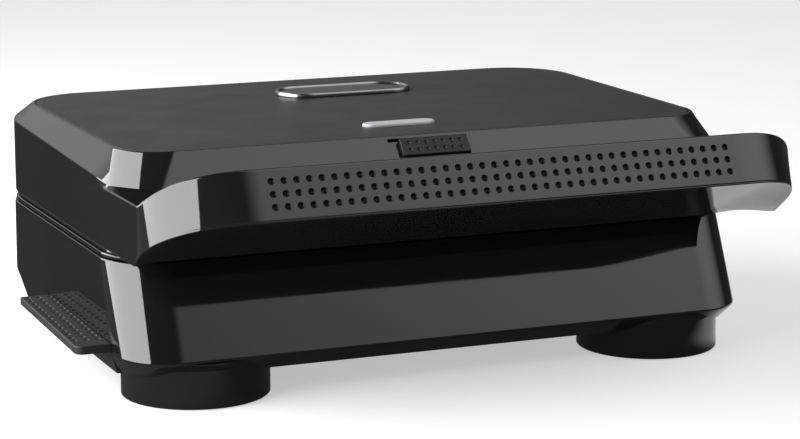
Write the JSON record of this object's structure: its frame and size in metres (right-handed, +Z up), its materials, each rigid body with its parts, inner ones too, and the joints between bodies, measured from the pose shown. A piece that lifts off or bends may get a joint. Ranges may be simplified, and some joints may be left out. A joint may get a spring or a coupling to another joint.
{
  "type": "contact grill",
  "caption": "Contact grill with a hinged lid, wrap-round front handle, sliding lid latch, ribbed cooking plates and a drip tray that pulls out of the side.",
  "frame": {"origin": "bottom centre of the whole grill with the lid closed, on the table", "axes": "+Z up, -Y the front with the handle, +X the user's right; the drip tray pulls out along -X"},
  "size_m": [0.3038, 0.2728, 0.1063],
  "materials": {
    "gloss_black": "polished black plastic",
    "satin_black": "satin charcoal plastic",
    "matt_black": "matt black plastic",
    "rubber": "soft black rubber",
    "plate_coat": "dark non-stick coating on cast aluminium",
    "steel": "plain pressed steel",
    "heater_steel": "heat-darkened steel tube",
    "lens_white": "milky translucent plastic",
    "board_green": "printed circuit board",
    "ceramic": "off-white ceramic"
  },
  "bodies": {
    "base": {"base_housing": "gloss_black", "base_bottom": "matt_black", "base_frame": "gloss_black", "lower_plate": "plate_coat", "lower_heater": "heater_steel", "lower_reflector": "steel", "foot_front_left": "gloss_black", "foot_front_right": "gloss_black", "foot_rear_left": "gloss_black", "foot_rear_right": "gloss_black", "foot_pad_front_left": "rubber", "foot_pad_front_right": "rubber", "foot_pad_rear_left": "rubber", "foot_pad_rear_right": "rubber", "tray_rail_front": "matt_black", "tray_rail_rear": "matt_black", "hinge_bracket_left": "steel", "hinge_bracket_right": "steel", "hinge_pin_left": "steel", "hinge_pin_right": "steel", "terminal_block": "ceramic", "thermostat": "ceramic", "thermal_fuse": "ceramic", "cord_gland": "matt_black"},
    "lid": {"lid_housing": "gloss_black", "top_panel": "satin_black", "badge_plate": "gloss_black", "indicator_lens": "lens_white", "lamp_board": "board_green", "handle_underside": "gloss_black", "lid_frame": "gloss_black", "upper_plate": "plate_coat", "upper_heater": "heater_steel", "upper_reflector": "steel", "hinge_arm_left": "steel", "hinge_arm_right": "steel"},
    "latch": {"latch_pad": "satin_black", "latch_hook": "steel"},
    "tray": {"drip_tray": "matt_black", "tray_handle": "satin_black"}
  },
  "joints": [
    {"name": "lid_hinge", "type": "hinge", "parent": "base", "child": "lid", "pos_m": [0.00635, 0.13125, 0.06095], "axis": [-1, 0, 0], "range_deg": [0, 100]},
    {"name": "latch_slide", "type": "slide", "parent": "lid", "child": "latch", "axis": [-1, 0, 0], "range_m": [0, 0.0045]},
    {"name": "tray_slide", "type": "slide", "parent": "base", "child": "tray", "axis": [-1, 0, 0], "range_m": [0, 0.14]}
  ]
}
